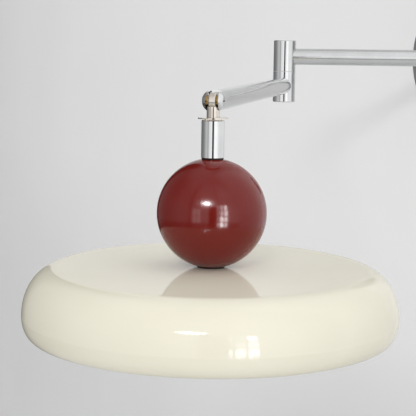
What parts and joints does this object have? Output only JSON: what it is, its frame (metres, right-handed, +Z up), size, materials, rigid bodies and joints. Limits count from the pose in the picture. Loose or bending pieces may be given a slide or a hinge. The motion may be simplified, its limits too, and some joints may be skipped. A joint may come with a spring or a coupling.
{
  "type": "plug-in wall lamp",
  "caption": "Swing-arm wall lamp with a round wall plate, jointed chrome arms, a tilting knuckle, a glossy ball and a shallow disc shade with an opal diffuser underneath.",
  "frame": {"origin": "centre of the wall plate's back face, where it lies on the wall", "axes": "the wall is the XZ plane; +Y points into the wall and the lamp stands out along -Y; +Z is up"},
  "size_m": [0.4319, 0.5192, 0.2661],
  "materials": {
    "chrome": "polished",
    "warm_nickel": "polished",
    "zinc_steel": "satin",
    "white_enamel": "gloss",
    "burgundy_enamel": "gloss",
    "cream_enamel": "gloss",
    "black_rubber": "matte",
    "brass": "satin",
    "nylon": "satin",
    "black_plastic": "satin",
    "white_plastic": "satin",
    "white_lead": "satin",
    "ceramic": "matte",
    "frosted_glass": "satin",
    "opal": "satin"
  },
  "bodies": {
    "wall_mount": {"wall_plate": "chrome", "back_plate": "zinc_steel", "cover_screws": "zinc_steel", "terminal_block": "white_plastic", "terminal_screws": "zinc_steel", "cord_gland": "black_plastic", "pivot_bracket": "chrome", "bracket_nut": "zinc_steel", "wall_pin": "chrome", "wall_pin_nut": "chrome", "wall_washers": "nylon"},
    "inner_arm": {"wall_barrel": "chrome", "inner_tube": "chrome", "inner_lead": "white_lead", "elbow_upper_barrel": "chrome", "elbow_shaft": "zinc_steel", "elbow_washer": "nylon", "elbow_spring_washer": "zinc_steel", "elbow_nut": "zinc_steel"},
    "outer_arm": {"elbow_lower_barrel": "chrome", "elbow_cap": "chrome", "outer_tube": "chrome", "outer_lead": "white_lead", "knuckle_fork": "chrome", "knuckle_screw": "chrome", "knuckle_nut": "chrome", "friction_discs": "brass"},
    "head": {"knuckle_tongue": "warm_nickel", "lock_nut": "warm_nickel", "coupler": "chrome", "upper_gasket": "black_rubber", "ball": "burgundy_enamel", "lower_gasket": "black_rubber", "threaded_rod": "zinc_steel", "head_lead": "white_lead", "shade": "cream_enamel", "shade_washer": "zinc_steel", "shade_nut": "zinc_steel", "lamp_plate": "white_enamel", "plate_nut": "zinc_steel", "lamp_holders": "ceramic", "lamp_capsules": "frosted_glass", "lamp_leads": "white_lead", "diffuser_spacers": "zinc_steel", "diffuser": "opal", "thumb_nuts": "chrome"}
  },
  "joints": [
    {"name": "wall_swivel", "type": "hinge", "parent": "wall_mount", "child": "inner_arm", "pos_m": [0, -0.04, 0], "axis": [0, 0, 1], "range_deg": [-55.7, 42]},
    {"name": "elbow_swivel", "type": "hinge", "parent": "inner_arm", "child": "outer_arm", "pos_m": [-0.05967, -0.17215, -0.0145], "axis": [0, 0, -1], "range_deg": [-22.1, 148]},
    {"name": "head_tilt", "type": "hinge", "parent": "outer_arm", "child": "head", "pos_m": [0.22124, -0.37926, -0.029], "axis": [-0.5934, -0.8049, 0], "range_deg": [0, 90]}
  ]
}
